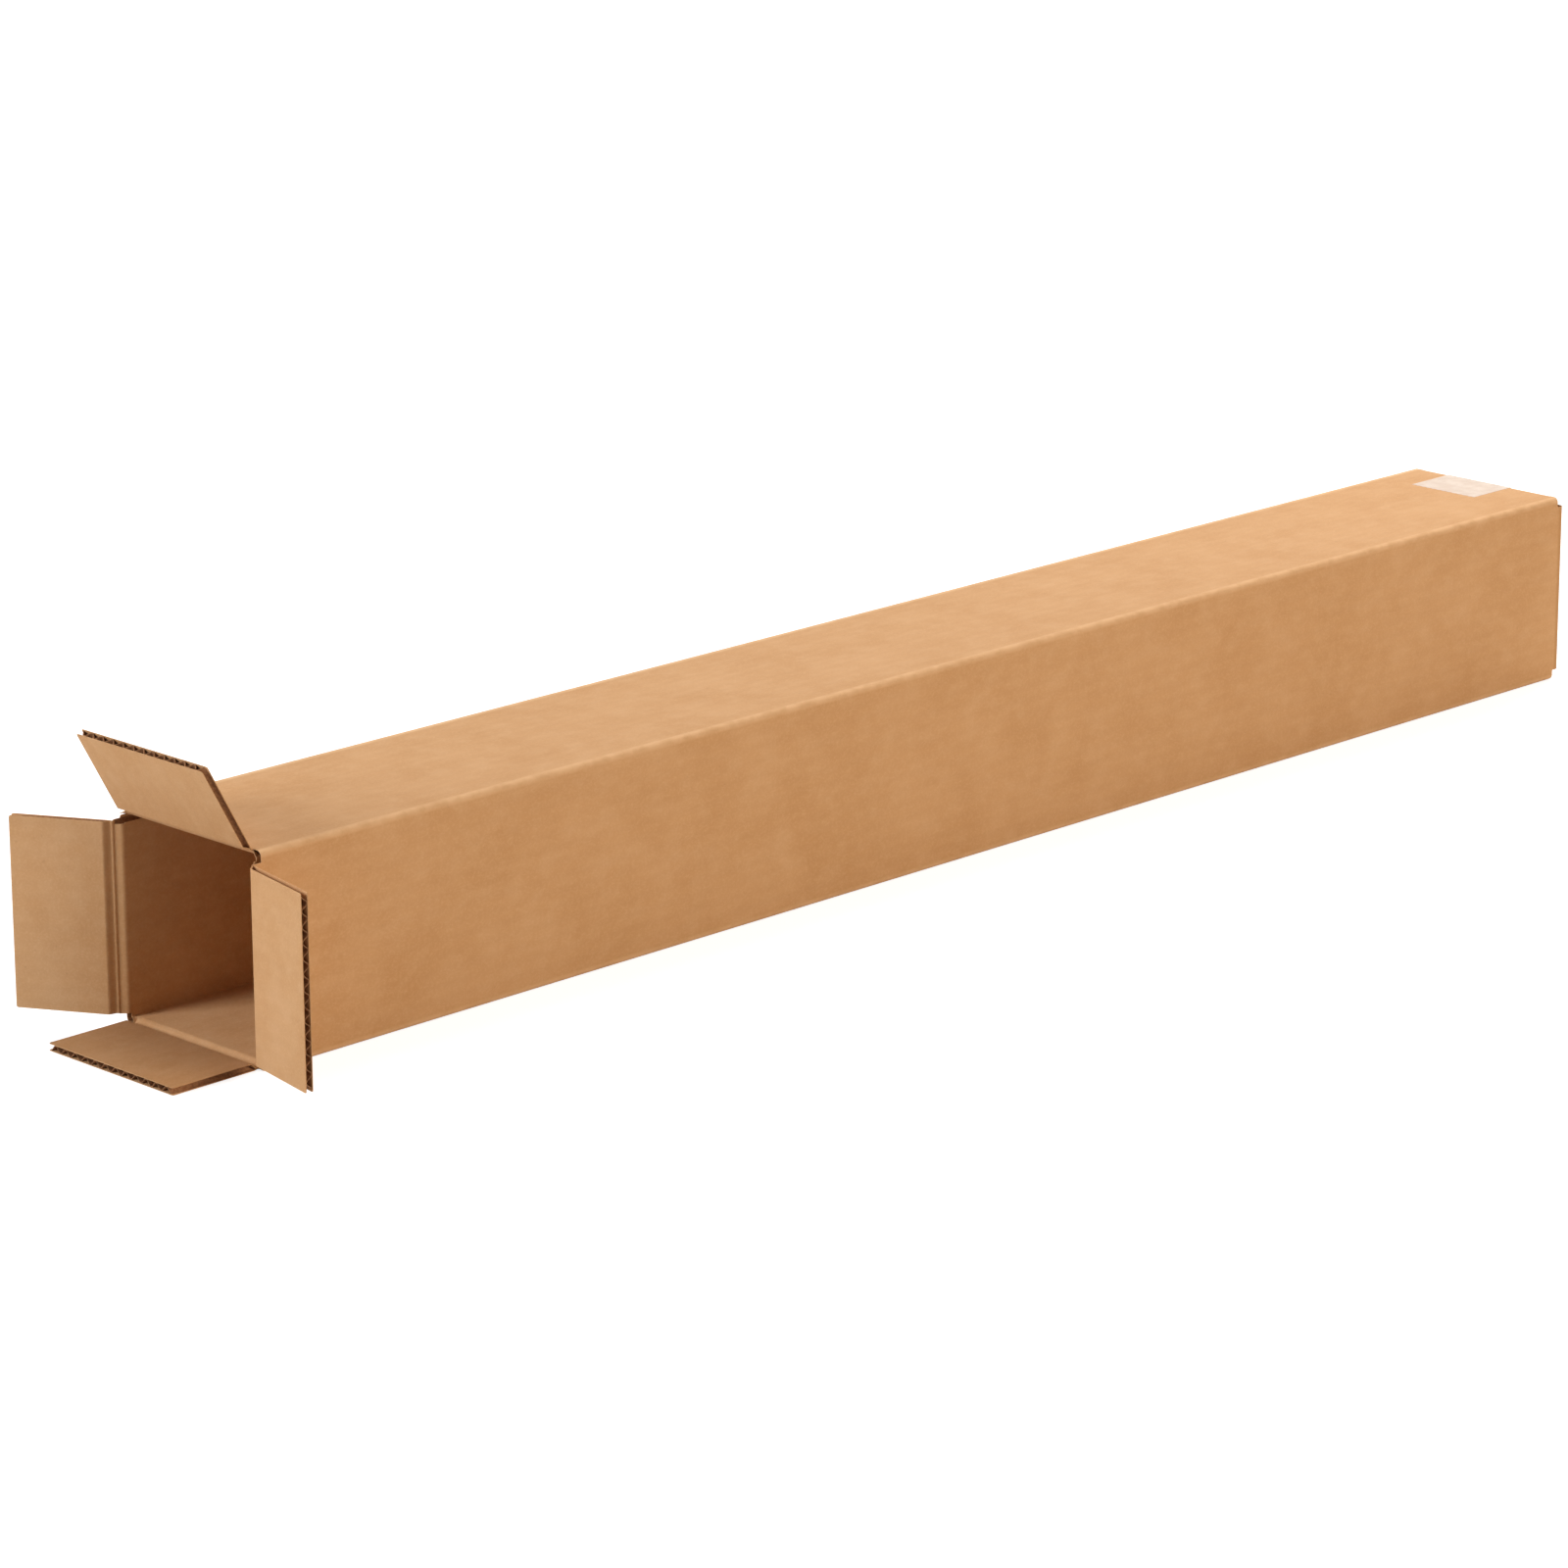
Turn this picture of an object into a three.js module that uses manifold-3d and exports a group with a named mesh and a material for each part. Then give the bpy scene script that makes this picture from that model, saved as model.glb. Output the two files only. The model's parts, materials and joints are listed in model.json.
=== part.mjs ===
// Long shipping box: a regular slotted carton of single-wall corrugated board.
// Millimetres, +Z up, +X along the box from its open end to its taped end.
// The origin is the centre of the bottom panel's outer face.
import * as THREE from 'three';
import { mergeVertices } from 'three/addons/utils/BufferGeometryUtils.js';
import Module from 'manifold-3d';

const wasm = await Module();
wasm.setup();

// Inside of the closed box
const INSIDE_LENGTH = 1016;
const INSIDE_WIDTH = 101.6;
const INSIDE_HEIGHT = 106;

// Corrugated board: two flat liners with a fluted medium between them
const BOARD = 4;
const LINER = 0.35;
const MEDIUM = 0.3;
const FLUTE_PITCH = 7.9;
const FLUTE_CREST = 1.4;

// Creases across the flutes, where the board is crushed from inside to make a hinge
const CREASE_DEPTH = 0.5;
const CREASE_GAP = 0.4;
const CREASE_LIP = 0.48;
const CREASE_LAND = 0.1;
const CRUSH_INSIDE = 4.6;
const CRUSH_OUTSIDE = 2;
const PINCH_SLIT = 0.2;
const FOLD_RADIUS = 2.5;
const FOLD_STEPS = 3;

// Long folds between the panels, and the slots that part the flaps
const CORNER_RADIUS = 3;
const CORNER_STEPS = 4;
const INNER_CORNER = 0.8;
const SLOT_INSET = 6;
const SLOT_PAST_CREASE = 1;

// Flaps: the outer pair is scored one board further out, so that it closes over the inner pair
const FLAP_CLEARANCE = 0.3;
const FLAP_SEAM = 1;

// Glue tab: carried by the back panel and glued under the top panel
const TAB_WIDTH = 35;
const TAB_SETBACK = 12;
const TAB_TAPER = 9;

// Clear tape over the closed end
const TAPE_WIDTH = 48;
const TAPE_THICKNESS = 0.2;
const TAPE_LAP = 41;
const TAPE_OFFSET = 6;
const TAPE_GAP = 0.05;

// How far each open flap leans out from its panel, in degrees
const LEAN = { top: 61, bottom: 0, front: 79, back: 59.5 };

// How far parts of the one sheet run into each other before they are joined
const JOIN = 0.05;

// Sizes that follow from the ones above
const WIDTH = INSIDE_WIDTH + 2 * BOARD;
const HEIGHT = INSIDE_HEIGHT + 2 * BOARD;
const INNER_CREASE = INSIDE_LENGTH / 2 + BOARD - CREASE_DEPTH;
const OUTER_CREASE = INNER_CREASE + BOARD + FLAP_CLEARANCE;
const FLAP_REACH = (WIDTH - FLAP_SEAM) / 2;
const FLAP_LENGTH = FLAP_REACH - CREASE_DEPTH;
const TOP_PANEL_WIDTH = WIDTH - 2 * SLOT_INSET;
const SIDE_PANEL_WIDTH = HEIGHT - 2 * SLOT_INSET;
const SLOT_END = INNER_CREASE - SLOT_PAST_CREASE;

const kraft = (name, colour) => {
  const material = new THREE.MeshStandardMaterial({ color: colour, roughness: 0.88, metalness: 0 });
  material.name = name;
  return material;
};

// Turns a shape's own axes into the part's: across, up and along the box
const ALONG_BOX = new THREE.Matrix4().makeBasis(
  new THREE.Vector3(0, 1, 0),
  new THREE.Vector3(0, 0, 1),
  new THREE.Vector3(1, 0, 0),
);

// A closed three.js geometry as a solid for joining and cutting
function solid(geometry) {
  const bare = geometry.clone();
  bare.deleteAttribute('normal');
  bare.deleteAttribute('uv');
  const merged = mergeVertices(bare, 1e-5);
  return new wasm.Manifold(new wasm.Mesh({
    numProp: 3,
    vertProperties: new Float32Array(merged.attributes.position.array),
    triVerts: new Uint32Array(merged.index.array),
  }));
}

// A solid back as a three.js geometry with flat faces
function surface(body) {
  const mesh = body.getMesh();
  const geometry = new THREE.BufferGeometry();
  geometry.setAttribute('position', new THREE.BufferAttribute(new Float32Array(mesh.vertProperties), 3));
  geometry.setIndex(new THREE.BufferAttribute(new Uint32Array(mesh.triVerts), 1));
  const flat = geometry.toNonIndexed();
  flat.computeVertexNormals();
  return flat;
}

function outline(points) {
  return new THREE.Shape(points.map(([x, y]) => new THREE.Vector2(x, y)));
}

// Points of an arc about a centre, between two angles in degrees
function arc(centreX, centreY, radius, from, to, steps) {
  return Array.from({ length: steps + 1 }, (_, i) => {
    const angle = THREE.MathUtils.degToRad(from + ((to - from) * i) / steps);
    return [centreX + radius * Math.cos(angle), centreY + radius * Math.sin(angle)];
  });
}

// A side view in x and z, drawn out across the box and centred on y = 0
function acrossBox(points, width) {
  const geometry = new THREE.ExtrudeGeometry(outline(points), { depth: width, bevelEnabled: false });
  return geometry.rotateX(Math.PI / 2).translate(0, width / 2, 0);
}

// End views in y and z, drawn out along the box from one x to another
function alongBox(shapes, from, to) {
  const geometry = new THREE.ExtrudeGeometry(shapes, { depth: to - from, bevelEnabled: false });
  return geometry.applyMatrix4(ALONG_BOX).translate(from, 0, 0);
}

// Flutes of the corrugated board
// One gap between the medium and a liner, seen along the flute. The board's outer face is at 0
// and its inner face at -BOARD; an outer gap widens towards the outer liner.
function fluteGap(centre, widensOut) {
  const nearLiner = BOARD / 2 - LINER;
  const nearMedium = nearLiner - MEDIUM;
  const slope = Math.atan2(2 * nearLiner - MEDIUM, FLUTE_PITCH / 2 - FLUTE_CREST);
  const wall = MEDIUM / 2 / Math.sin(slope);
  const wide = FLUTE_PITCH / 2 - FLUTE_CREST / 2 - wall;
  const narrow = FLUTE_CREST / 2 - wall;
  const rise = nearMedium * 0.3;
  const shoulder = narrow + (wide - narrow) * 0.2;
  const half = [[narrow, -nearMedium], [shoulder, rise - nearMedium], [wide, nearLiner]];
  const up = widensOut ? 1 : -1;
  const right = half.map(([x, y]) => [centre + x, up * y - BOARD / 2]);
  const left = half.map(([x, y]) => [centre - x, up * y - BOARD / 2]).reverse();
  return outline([...right, ...left]);
}

// All the gaps that fit in a board of this width, with the same rhythm through panel and flap
function fluteGaps(low, high) {
  const shapes = [];
  const first = Math.ceil((low + FLUTE_PITCH / 2) / (FLUTE_PITCH / 2));
  const last = Math.floor((high - FLUTE_PITCH / 2) / (FLUTE_PITCH / 2));
  for (let i = first; i <= last; i += 1) {
    shapes.push(fluteGap((i * FLUTE_PITCH) / 2, i % 2 === 0));
  }
  return shapes;
}

function flutes(width, from, to) {
  return solid(alongBox(fluteGaps(-width / 2, width / 2), from, to));
}

// Crease: the crushed end of a board, as distance from the pivot and depth below the outer face
const CRUSHED_OUTSIDE = [[CREASE_GAP, CREASE_DEPTH - CREASE_LAND], [CRUSH_OUTSIDE, 0]];
const CRUSHED_INSIDE = [[CRUSH_INSIDE, BOARD], [CREASE_GAP, CREASE_DEPTH - CREASE_LAND + CREASE_LIP]];

// An open flap, in line with its panel: the pivot is at the origin and the flap runs to -x
function flapSolid(panelWidth) {
  const width = panelWidth - 2 * FLAP_CLEARANCE;
  const toPoint = ([distance, depth]) => [-distance, CREASE_DEPTH - depth];
  const side = [...CRUSHED_OUTSIDE, [FLAP_LENGTH, 0], [FLAP_LENGTH, BOARD], ...CRUSHED_INSIDE].map(toPoint);
  const gaps = flutes(width, -FLAP_LENGTH - JOIN, -CRUSH_INSIDE).translate([0, 0, CREASE_DEPTH]);
  return solid(acrossBox(side.reverse(), width)).subtract(gaps);
}

// A panel with its closed flap at the far end. The panel's outer face is at z = 0 and the box
// is below it; the sheet starts at the near crease and folds down over the far end.
function panelSolid(panelWidth, crease) {
  const width = panelWidth + 2 * JOIN;
  const farFace = crease + CREASE_DEPTH;
  const toPoint = ([distance, depth]) => [distance - crease, -depth];
  const fold = arc(farFace - FOLD_RADIUS, -FOLD_RADIUS, FOLD_RADIUS, 90, 0, FOLD_STEPS);
  const flapInside = farFace - BOARD;
  const side = [
    ...CRUSHED_OUTSIDE.map(toPoint),
    ...fold,
    [farFace, -FLAP_REACH],
    [flapInside, -FLAP_REACH],
    [flapInside, -BOARD],
    ...CRUSHED_INSIDE.map(toPoint),
  ];
  const panelFlutes = flutes(width, CRUSH_INSIDE - crease, flapInside - LINER);
  const flapFlutes = flutes(width, BOARD + LINER, FLAP_REACH + JOIN)
    .rotate([0, 90, 0])
    .translate([farFace, 0, 0]);
  // Where the board is pinched flat at the crease, a thin slit is left between its liners
  const slit = new THREE.BoxGeometry(CRUSH_INSIDE - CREASE_GAP + 2 * JOIN, width - FLUTE_PITCH, PINCH_SLIT);
  slit.translate((CRUSH_INSIDE + CREASE_GAP) / 2 - crease, 0, -(LINER + MEDIUM));
  return solid(acrossBox(side.reverse(), width))
    .subtract(panelFlutes)
    .subtract(flapFlutes)
    .subtract(solid(slit));
}

// Long corners of the tube, as end views with the outer corner at the origin
function foldedCorner() {
  return outline([
    [-SLOT_INSET, 0],
    ...arc(-CORNER_RADIUS, -CORNER_RADIUS, CORNER_RADIUS, 90, 0, CORNER_STEPS),
    [0, -SLOT_INSET],
    [-BOARD, -SLOT_INSET],
    [-BOARD, -BOARD - INNER_CORNER],
    [-BOARD - INNER_CORNER, -BOARD],
    [-SLOT_INSET, -BOARD],
  ].reverse());
}

// The glued corner: the top panel's cut edge lies over the fold that starts the glue tab
function gluedCorner() {
  const radius = SLOT_INSET - BOARD;
  const inside = -2 * BOARD - INNER_CORNER;
  return outline([
    [-SLOT_INSET, 0],
    [0, 0],
    [0, -BOARD],
    ...arc(-radius, -SLOT_INSET, radius, 90, 0, CORNER_STEPS),
    [0, inside],
    [-BOARD, inside],
    [-BOARD - INNER_CORNER, -2 * BOARD],
    [-SLOT_INSET, -2 * BOARD],
  ].reverse());
}

function corner(shape, turn, y, z) {
  return solid(alongBox([shape], -SLOT_END, SLOT_END)).rotate([turn, 0, 0]).translate([0, y, z]);
}

// Glue tab: a strip with tapered ends under the top panel, along its back edge
function tabSolid() {
  const root = WIDTH / 2 - SLOT_INSET + JOIN;
  const edge = WIDTH / 2 - BOARD - TAB_WIDTH;
  const end = INNER_CREASE - TAB_SETBACK;
  const plan = outline([[-end, root], [-end + TAB_TAPER, edge], [end - TAB_TAPER, edge], [end, root]]);
  const strip = new THREE.ExtrudeGeometry(plan, { depth: BOARD, bevelEnabled: false });
  const under = HEIGHT - BOARD;
  const gaps = solid(alongBox(fluteGaps(edge, root), -end - JOIN, end + JOIN));
  return solid(strip).translate([0, 0, under - BOARD])
    .subtract(gaps.translate([0, 0, under]))
    .translate([0, 0, JOIN]);
}

function cartonSolid() {
  const top = panelSolid(TOP_PANEL_WIDTH, INNER_CREASE);
  const side = panelSolid(SIDE_PANEL_WIDTH, OUTER_CREASE);
  const folded = foldedCorner();
  return top.translate([0, 0, HEIGHT])
    .add(top.rotate([180, 0, 0]))
    .add(side.rotate([-90, 0, 0]).translate([0, WIDTH / 2, HEIGHT / 2]))
    .add(side.rotate([90, 0, 0]).translate([0, -WIDTH / 2, HEIGHT / 2]))
    .add(corner(gluedCorner(), 0, WIDTH / 2, HEIGHT))
    .add(corner(folded, 90, -WIDTH / 2, HEIGHT))
    .add(corner(folded, 180, -WIDTH / 2, 0))
    .add(corner(folded, 270, WIDTH / 2, 0))
    .add(tabSolid());
}

// Tape: a strip that laps the top panel, bridges down over the closed flaps and laps the bottom
function tapeGeometry() {
  const farFace = OUTER_CREASE + CREASE_DEPTH;
  const lapEnd = farFace - TAPE_LAP;
  const bend = INNER_CREASE - CREASE_DEPTH;
  const step = SLOT_INSET - FLAP_CLEARANCE;
  const path = [
    [lapEnd, HEIGHT],
    [bend, HEIGHT],
    [farFace, HEIGHT - step],
    [farFace, step],
    [bend, 0],
    [lapEnd, 0],
  ].map(([x, z]) => new THREE.Vector2(x, z));
  const legs = path.slice(1).map((point, i) => point.clone().sub(path[i]).normalize());
  // The same path moved out from the box by a distance, with its bends mitred
  const movedOut = (distance) => path.map((point, i) => {
    const into = legs[Math.max(i - 1, 0)];
    const out = legs[Math.min(i, legs.length - 1)];
    const across = new THREE.Vector2(-into.y - out.y, into.x + out.x).normalize();
    const reach = distance / (across.y * into.x - across.x * into.y);
    return [point.x + across.x * reach, point.y + across.y * reach];
  });
  const ribbon = [...movedOut(TAPE_GAP), ...movedOut(TAPE_GAP + TAPE_THICKNESS).reverse()].reverse();
  return acrossBox(ribbon, TAPE_WIDTH).translate(0, TAPE_OFFSET, 0);
}

// The parts in place
const box = new THREE.Group();

function addMesh(name, geometry, material) {
  const mesh = new THREE.Mesh(geometry, material);
  mesh.name = name;
  box.add(mesh);
  return mesh;
}

addMesh('carton', surface(cartonSolid()), kraft('kraft carton', 0xc4915f));

const FLAPS = [
  { name: 'top_flap', width: TOP_PANEL_WIDTH, crease: INNER_CREASE, y: 0, z: HEIGHT - CREASE_DEPTH,
    turn: 0, lean: LEAN.top, colour: 0xc89c77 },
  { name: 'bottom_flap', width: TOP_PANEL_WIDTH, crease: INNER_CREASE, y: 0, z: CREASE_DEPTH,
    turn: 180, lean: LEAN.bottom, colour: 0xb0825c },
  { name: 'front_flap', width: SIDE_PANEL_WIDTH, crease: OUTER_CREASE, y: CREASE_DEPTH - WIDTH / 2,
    z: HEIGHT / 2, turn: 90, lean: LEAN.front, colour: 0xd1a57b },
  { name: 'back_flap', width: SIDE_PANEL_WIDTH, crease: OUTER_CREASE, y: WIDTH / 2 - CREASE_DEPTH,
    z: HEIGHT / 2, turn: -90, lean: LEAN.back, colour: 0xbb8e68 },
];

for (const flap of FLAPS) {
  const mesh = addMesh(flap.name, surface(flapSolid(flap.width)), kraft(`kraft ${flap.name}`, flap.colour));
  mesh.position.set(-flap.crease, flap.y, flap.z);
  mesh.rotation.set(THREE.MathUtils.degToRad(flap.turn), THREE.MathUtils.degToRad(flap.lean), 0);
}

addMesh('end_tape', tapeGeometry(), new THREE.MeshStandardMaterial({
  color: 0xe6d6c4, roughness: 0.35, metalness: 0, transparent: true, opacity: 0.6,
}));

export default box;
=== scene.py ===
# %% [markdown]
# # A long carton of corrugated board
# The box is one sheet of single-wall board: two flat paper liners with a waved sheet of paper
# between them. It is folded into a long square tube, its far end is shut and taped, and the four
# flaps of its near end stand open. Everything here is in metres. Each piece is modelled around the
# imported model, which says where the box, its creases and its tape are.

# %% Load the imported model
import json
import math

import bpy
from mathutils import Matrix, Vector


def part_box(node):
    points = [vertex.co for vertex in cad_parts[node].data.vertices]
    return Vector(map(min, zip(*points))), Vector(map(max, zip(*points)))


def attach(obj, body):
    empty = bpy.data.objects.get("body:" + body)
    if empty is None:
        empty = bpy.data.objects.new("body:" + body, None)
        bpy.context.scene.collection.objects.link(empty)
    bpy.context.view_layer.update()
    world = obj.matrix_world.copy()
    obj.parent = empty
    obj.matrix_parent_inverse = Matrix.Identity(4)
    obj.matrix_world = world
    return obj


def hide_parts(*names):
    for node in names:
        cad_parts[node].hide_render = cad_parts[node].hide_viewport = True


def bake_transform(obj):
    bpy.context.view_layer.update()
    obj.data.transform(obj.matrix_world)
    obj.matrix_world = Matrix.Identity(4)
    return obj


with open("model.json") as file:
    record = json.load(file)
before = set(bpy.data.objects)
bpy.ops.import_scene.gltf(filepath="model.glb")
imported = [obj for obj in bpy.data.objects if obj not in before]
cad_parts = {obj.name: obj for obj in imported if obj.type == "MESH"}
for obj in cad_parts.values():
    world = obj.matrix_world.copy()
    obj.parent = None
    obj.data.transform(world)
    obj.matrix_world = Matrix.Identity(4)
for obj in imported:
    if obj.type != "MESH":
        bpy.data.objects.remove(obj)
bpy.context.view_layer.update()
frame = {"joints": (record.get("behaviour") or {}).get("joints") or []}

joint_at = {joint["name"]: Vector(joint["pos_m"]) for joint in frame["joints"]}
print("creases:", sorted(joint_at))

# %% [markdown]
# ## The camera
# The photograph looks along the box from its open end, from a little above, with a long lens.
# A camera could be aimed by a constraint, but plain angles keep its place easy to read: the heading
# is measured from the line across the box, and the tilt is how far it looks down.

# %% Camera
CAMERA_PLACE = (-2.2639, -2.1763, 0.9521)
CAMERA_HEADING = 44.886
CAMERA_TILT = 16.371
CAMERA_ROLL = -0.209
CAMERA_LENS = 135.1

bpy.ops.object.select_all(action="DESELECT")
bpy.ops.object.camera_add(location=CAMERA_PLACE)
camera = bpy.context.object
turned = Matrix.Rotation(math.radians(-CAMERA_HEADING), 3, "Z")
tipped = Matrix.Rotation(math.radians(90 - CAMERA_TILT), 3, "X")
rolled = Matrix.Rotation(math.radians(CAMERA_ROLL), 3, "Z")
camera.rotation_euler = (turned @ tipped @ rolled).to_euler()
camera.data.lens = CAMERA_LENS
camera.data.sensor_width = 36
camera.data.clip_end = 100
bpy.context.scene.camera = camera
bpy.context.scene.view_settings.view_transform = "Standard"
print("camera", round(Vector(CAMERA_PLACE).length, 2), "m from the box's middle")

# %% [markdown]
# ## Sizes
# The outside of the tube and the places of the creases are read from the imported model. The board's
# own make-up, and how far the creases are crushed, are those of ordinary 4 mm board.

# %% Sizes
MM = 0.001
BOARD = 4 * MM
LINER = 0.35 * MM
MEDIUM = 0.3 * MM
FLUTE_PITCH = 7.9 * MM

low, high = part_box("carton")
WIDTH = high.y - low.y
HEIGHT = high.z - low.z
INNER_CREASE = -joint_at["top_flap_crease"].x
OUTER_CREASE = -joint_at["front_flap_crease"].x
CREASE_DEPTH = HEIGHT - joint_at["top_flap_crease"].z
CREASE_GAP = 0.4 * MM
WAVE_GAP = 0.6 * MM
CRUSH_INSIDE = 4.6 * MM
CRUSH_OUTSIDE = 2 * MM

FOLD_RADIUS = 3 * MM
END_FOLD_RADIUS = 2.5 * MM
GLUED_FOLD_RADIUS = 2 * MM
LEAST_FOLD = 0.6 * MM
LEAST_END_FOLD = 0.2 * MM
CRUSH_MARGIN = 2 * MM
SLOT_INSET = 6 * MM
SLOT_END = INNER_CREASE - 1 * MM
TAB_WIDTH = 35 * MM
TAB_SETBACK = 12 * MM
TAB_TAPER = 9 * MM
FLAP_CLEARANCE = 0.3 * MM
FLAP_REACH = WIDTH / 2 - 0.5 * MM
FLAP_LENGTH = FLAP_REACH - CREASE_DEPTH
LEAN = {"top": 61, "bottom": 0, "front": 79, "back": 59.5}
print("tube", round(WIDTH / MM, 1), "by", round(HEIGHT / MM, 1), "mm outside")

# %% [markdown]
# ## Three papers
# The tube, the flaps and the medium each get a paper of their own. They are named before the
# modelling, because a mesh that is joined from several sheets keeps the paper of each. What each
# paper looks like is written further down.

# %% Name the papers
kraft_tube = bpy.data.materials.new("kraft_tube")
kraft_flap = bpy.data.materials.new("kraft_flap")
fluting = bpy.data.materials.new("fluting")
print("papers:", kraft_tube.name, kraft_flap.name, fluting.name)

# %% [markdown]
# ## Working by selection
# Modelling by hand is a loop of two moves: select some points, then act on them. These helpers do
# the first move. They pick points by their place, which stays readable when the mesh changes, where
# a list of point numbers would not.

# %% Helpers for selecting and shaping
NEAR = 0.01 * MM


def pick(piece, wanted):
    """Selects the points of a piece whose place passes a test, and stays in edit mode."""
    bpy.ops.object.mode_set(mode="OBJECT")
    for part in (piece.data.polygons, piece.data.edges, piece.data.vertices):
        part.foreach_set("select", [False] * len(part))
    for point in piece.data.vertices:
        point.select = wanted(point.co)
    bpy.ops.object.mode_set(mode="EDIT")


def pick_edges(piece, wanted):
    """Selects the edges whose two ends pass a test, and leaves the piece in edit mode."""
    pick(piece, lambda co: False)
    bpy.ops.mesh.select_mode(type="EDGE")
    bpy.ops.object.mode_set(mode="OBJECT")
    for edge in piece.data.edges:
        a, b = (piece.data.vertices[i].co for i in edge.vertices)
        edge.select = wanted(a, b)
    bpy.ops.object.mode_set(mode="EDIT")


def cut(piece, places, normal):
    """Adds a row of edges where each plane across a piece meets it."""
    for place in places:
        pick(piece, lambda co: True)
        bpy.ops.mesh.bisect(plane_co=Vector(normal) * place, plane_no=normal)


def pull_out(*steps):
    """Extrudes the selected edges by one step after another."""
    for step in steps:
        bpy.ops.mesh.extrude_edges_move(TRANSFORM_OT_translate={"value": step})


def start_piece(name):
    """Names the new primitive and opens it in edit mode."""
    piece = bpy.context.object
    piece.name = piece.data.name = name
    bpy.ops.object.transform_apply(location=True, rotation=True, scale=True)
    bpy.ops.object.mode_set(mode="EDIT")
    return piece


def finish_modifiers(piece):
    """Applies every modifier of a piece, in order."""
    bpy.ops.object.mode_set(mode="OBJECT")
    for modifier in list(piece.modifiers):
        bpy.ops.object.modifier_apply(modifier=modifier.name)


def thicken(piece, thickness, offset=-1):
    """Gives a sheet its thickness, away from its front side."""
    wall = piece.modifiers.new("Thickness", "SOLIDIFY")
    wall.thickness = thickness
    wall.offset = offset
    finish_modifiers(piece)


def join(name, pieces):
    """Joins several meshes into one piece."""
    bpy.ops.object.mode_set(mode="OBJECT")
    bpy.ops.object.select_all(action="DESELECT")
    for piece in pieces:
        piece.select_set(True)
    bpy.context.view_layer.objects.active = pieces[0]
    bpy.ops.object.join()
    joined = bpy.context.object
    joined.name = joined.data.name = name
    return joined


# %% [markdown]
# ## How a crease is crushed
# A creasing wheel presses a groove into the inside of the board. The outer liner dips a little,
# and the inner liner comes down to it in a smooth curve. Straight runs would be fewer faces, but
# their edges show as hard bands on an open flap. Both are given as how far a liner moves at a
# distance from the crease, and are made at a few rows of points.

# %% Crease slopes
OUTER_DIP = 0.4 * MM
INNER_RISE = 3.12 * MM
CREASE_STATIONS = (CRUSH_INSIDE, 3.9 * MM, 3.2 * MM, 2.5 * MM,
                   CRUSH_OUTSIDE, 1.3 * MM, 0.8 * MM, CREASE_GAP)


def outer_shift(distance):
    """How far the outer liner dips at a distance from the crease."""
    share = (CRUSH_OUTSIDE - distance) / (CRUSH_OUTSIDE - CREASE_GAP)
    return OUTER_DIP * min(max(share, 0), 1)


def inner_shift(distance):
    """How far the inner liner rises towards the outer one at a distance from the crease."""
    share = min(max((CRUSH_INSIDE - distance) / (CRUSH_INSIDE - CREASE_GAP), 0), 1)
    return INNER_RISE * share * share * (3 - 2 * share)


print("pinched to", round((BOARD - OUTER_DIP - INNER_RISE) / MM, 2), "mm at the crease")

# %% [markdown]
# ## The long tube, one liner at a time
# The real tube is folded from a flat sheet, so the mesh is folded the same way: the bottom panel
# is a plane, and its edges are extruded up, over and under, as far as the glue tab. A box
# primitive would be quicker, but it would have no seam. Both liners are made by this one recipe,
# at two depths below the outer face.

# %% Fold a liner round the tube
def set_outwards(piece):
    """Turns all faces of a folded sheet to look out of the box."""
    pick(piece, lambda co: True)
    bpy.ops.mesh.normals_make_consistent(inside=False)
    bpy.ops.object.mode_set(mode="OBJECT")
    lowest = min(piece.data.polygons, key=lambda face: face.center.z - face.area)
    if lowest.normal.z > 0:
        bpy.ops.object.mode_set(mode="EDIT")
        bpy.ops.mesh.select_all(action="SELECT")
        bpy.ops.mesh.flip_normals()
        bpy.ops.object.mode_set(mode="OBJECT")


def fold_liner(name, depth):
    """Folds one sheet round the tube, at a depth below the outer face, and rounds its folds."""
    side, roof, under_roof = WIDTH / 2 - depth, HEIGHT - depth, HEIGHT - BOARD - depth
    tab_edge = WIDTH / 2 - BOARD - TAB_WIDTH
    bpy.ops.object.select_all(action="DESELECT")
    bpy.ops.mesh.primitive_plane_add(size=1, location=(0, 0, depth))
    bpy.context.object.scale = (2 * SLOT_END, 2 * side, 1)
    liner = start_piece(name)
    pick(liner, lambda co: co.y < 0)
    pull_out((0, 0, roof - depth), (0, side + WIDTH / 2, 0))
    pick(liner, lambda co: co.y > side - NEAR and co.z < depth + NEAR)
    pull_out((0, 0, under_roof - depth), (0, tab_edge - side, 0))
    for radius, is_fold in (
        (FOLD_RADIUS, lambda co: abs(abs(co.y) - side) < NEAR and co.z < depth + NEAR),
        (FOLD_RADIUS, lambda co: co.y < NEAR - side and co.z > roof - NEAR),
        (GLUED_FOLD_RADIUS, lambda co: abs(co.y - side) < NEAR and abs(co.z - under_roof) < NEAR),
    ):
        pick(liner, is_fold)
        bpy.ops.mesh.bevel(offset=max(radius - depth, LEAST_FOLD), segments=6, affect="EDGES")
    set_outwards(liner)
    return liner


# %% [markdown]
# ## Panels and their end flaps
# Slots part the four panels at both ends, 6 mm from each corner. At the near end each panel runs on
# to its crease and is crushed there. At the far end the outer liner turns round a small radius and
# becomes the shut flap. The radius is a spin of the panel's last edge, which is what a fold is.

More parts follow.
